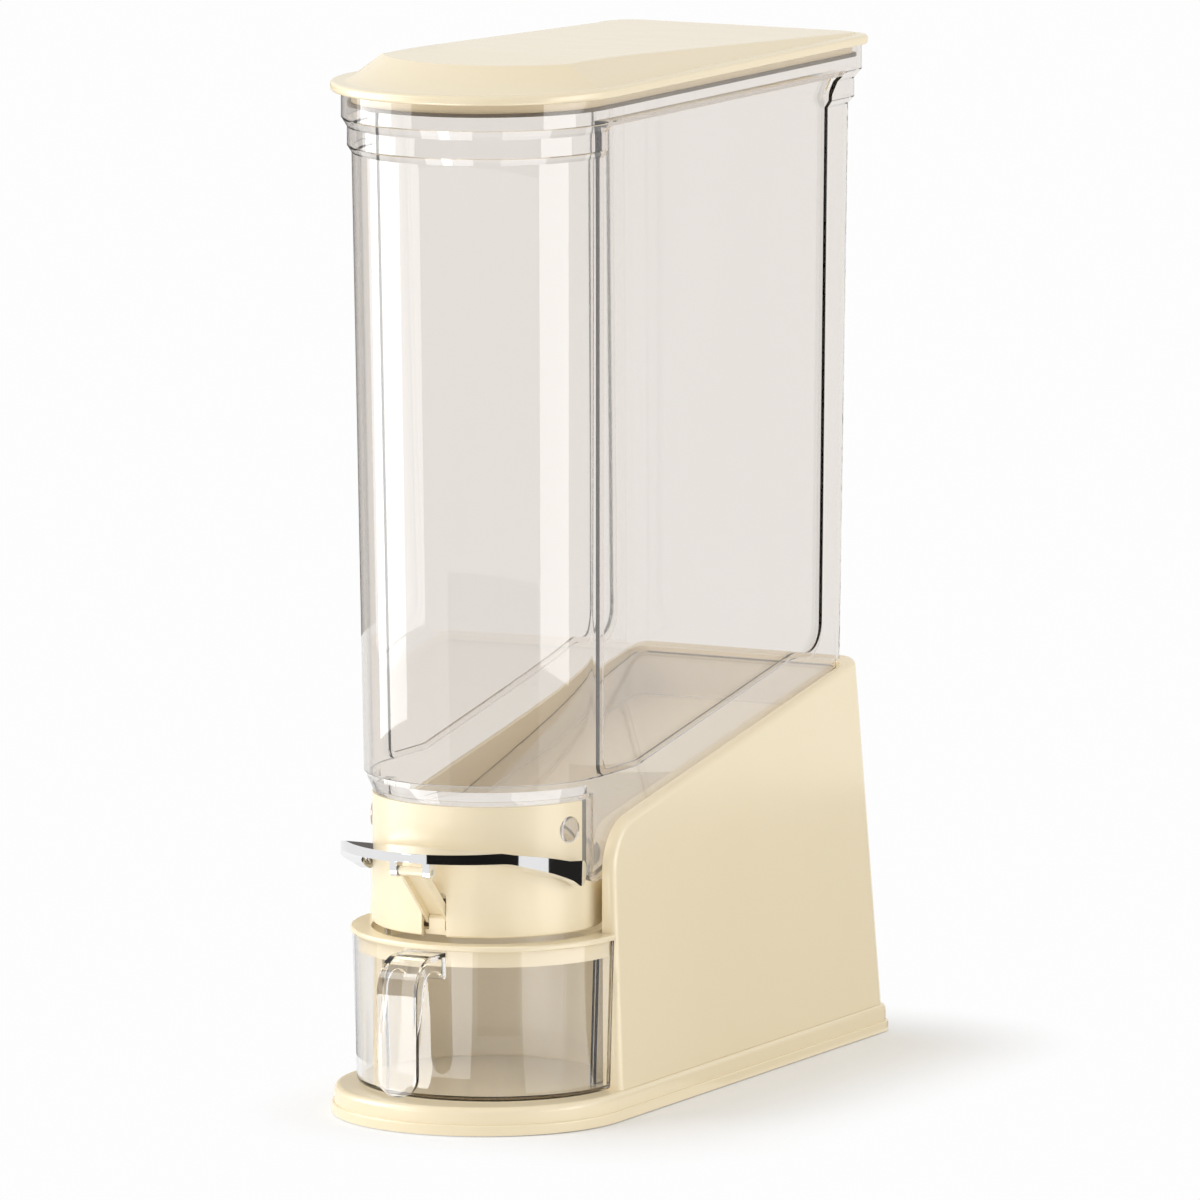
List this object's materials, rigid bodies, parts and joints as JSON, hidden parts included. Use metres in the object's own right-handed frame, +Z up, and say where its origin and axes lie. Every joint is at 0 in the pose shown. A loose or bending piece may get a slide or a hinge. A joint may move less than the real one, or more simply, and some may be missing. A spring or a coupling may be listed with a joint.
{
  "type": "rice dispenser",
  "caption": "Tall clear grain container with a cream lid on a sloped cream stand; a chrome lever opens a gate above a clear pull-out measuring cup.",
  "frame": {"origin": "centre of the object's outline seen from above, on the surface it stands on", "axes": "+Z up, -Y towards the front with the cup and its handle, +X across the width to the right as seen from the front"},
  "size_m": [0.146, 0.3848, 0.5074],
  "materials": {
    "cream_plastic": "smooth moulded, satin gloss",
    "clear_plastic": "clear, polished",
    "chrome": "bright plated",
    "steel": "plain steel",
    "silicone": "soft matte",
    "rubber": "matte"
  },
  "bodies": {
    "stand": {"stand_housing": "cream_plastic", "base_plinth": "cream_plastic", "rubber_feet": "rubber", "housing_screws": "steel"},
    "container": {"container_body": "clear_plastic", "hopper": "clear_plastic", "dispensing_collar": "cream_plastic", "chute_insert": "clear_plastic", "outlet_gasket": "silicone", "gate_hinge_pin": "steel", "return_spring": "steel", "lever_pivot_pins": "chrome"},
    "lid": {"lid_shell": "cream_plastic", "lid_liner": "cream_plastic", "lid_seal": "silicone"},
    "lever": {"lever": "chrome", "link_upper_pin": "steel"},
    "link": {"link_arm": "cream_plastic", "link_lower_pin": "steel"},
    "gate": {"gate_flap": "cream_plastic", "gate_seal": "silicone"},
    "cup": {"cup_body": "clear_plastic", "cup_ring_cover": "cream_plastic", "cup_handle": "clear_plastic"}
  },
  "joints": [
    {"name": "container_lift", "type": "slide", "parent": "stand", "child": "container", "axis": [0, 0, 1], "range_m": [0, 0.12]},
    {"name": "lid_lift", "type": "slide", "parent": "container", "child": "lid", "axis": [0, 0, 1], "range_m": [0, 0.06]},
    {"name": "lever_press", "type": "hinge", "parent": "container", "child": "lever", "pos_m": [0, -0.11665, 0.1215], "axis": [1, 0, 0], "range_deg": [0, 11], "stiffness_Nm_per_rad": 0.4, "springref_deg": -20.05},
    {"name": "link_hinge", "type": "hinge", "parent": "lever", "child": "link", "pos_m": [0, -0.17615, 0.1265], "axis": [1, 0, 0], "range_deg": [-11, 0]},
    {"name": "gate_hinge", "type": "hinge", "parent": "container", "child": "gate", "pos_m": [0, -0.08965, 0.0948], "axis": [1, 0, 0], "range_deg": [0, 11]},
    {"name": "cup_pull", "type": "slide", "parent": "stand", "child": "cup", "axis": [0, -1, 0], "range_m": [0, 0.14]}
  ],
  "couplings": [
    {"joint": "link_hinge", "follows": "lever_press", "ratio": -1},
    {"joint": "gate_hinge", "follows": "lever_press", "ratio": 1}
  ]
}
